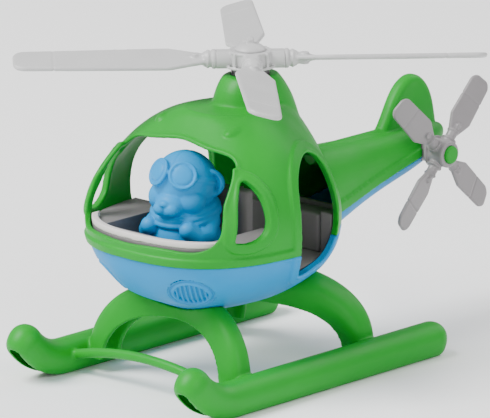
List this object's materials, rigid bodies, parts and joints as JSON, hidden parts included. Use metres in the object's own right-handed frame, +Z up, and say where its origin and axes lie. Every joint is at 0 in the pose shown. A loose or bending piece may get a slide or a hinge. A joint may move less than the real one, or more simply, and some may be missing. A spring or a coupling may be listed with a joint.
{
  "type": "toy helicopter",
  "caption": "Rounded toy helicopter with open cabin, skid landing gear, spinning main and tail rotors and a seated animal pilot that lifts out.",
  "frame": {"origin": "on the ground, below the middle of the toy's overall box", "axes": "+Z up, nose towards -Y, port side at +X"},
  "size_m": [0.1782, 0.2692, 0.1673],
  "materials": {
    "green_plastic": "satin moulded",
    "blue_plastic": "satin moulded",
    "cabin_grey_plastic": "satin moulded",
    "ledge_grey_plastic": "satin moulded",
    "rotor_grey_plastic": "satin moulded",
    "tail_grey_plastic": "satin moulded",
    "shaft_grey_plastic": "satin moulded"
  },
  "bodies": {
    "airframe": {"upper_shell": "green_plastic", "lower_hull": "blue_plastic", "cabin_tub": "cabin_grey_plastic", "windscreen_ledge": "ledge_grey_plastic", "pilot_seat": "cabin_grey_plastic", "rear_bench": "cabin_grey_plastic", "port_skid": "green_plastic", "starboard_skid": "green_plastic", "front_arch": "green_plastic", "rear_arch": "green_plastic", "front_tie_bar": "green_plastic", "mast_sleeve": "shaft_grey_plastic", "tail_bearing": "tail_grey_plastic"},
    "main_rotor": {"mast": "shaft_grey_plastic", "mast_clip": "shaft_grey_plastic", "rotor_hub": "rotor_grey_plastic", "rotor_cap": "rotor_grey_plastic", "rotor_blade_1": "rotor_grey_plastic", "rotor_blade_2": "rotor_grey_plastic", "rotor_blade_3": "rotor_grey_plastic", "rotor_blade_4": "rotor_grey_plastic"},
    "tail_rotor": {"tail_axle": "tail_grey_plastic", "tail_hub": "tail_grey_plastic", "tail_cap": "green_plastic", "tail_blade_1": "tail_grey_plastic", "tail_blade_2": "tail_grey_plastic", "tail_blade_3": "tail_grey_plastic", "tail_blade_4": "tail_grey_plastic"},
    "pilot_figure": {"pilot": "blue_plastic"}
  },
  "joints": [
    {"name": "main_rotor_spin", "type": "hinge", "parent": "airframe", "child": "main_rotor", "pos_m": [0, -0.023, 0.1562], "axis": [0, 0, 1], "continuous": true},
    {"name": "tail_rotor_spin", "type": "hinge", "parent": "airframe", "child": "tail_rotor", "pos_m": [0.02, 0.098, 0.0888], "axis": [1, 0, 0], "continuous": true},
    {"name": "pilot_slide", "type": "slide", "parent": "airframe", "child": "pilot_figure", "axis": [0, -1, 0], "range_m": [0, 0.004]}
  ]
}
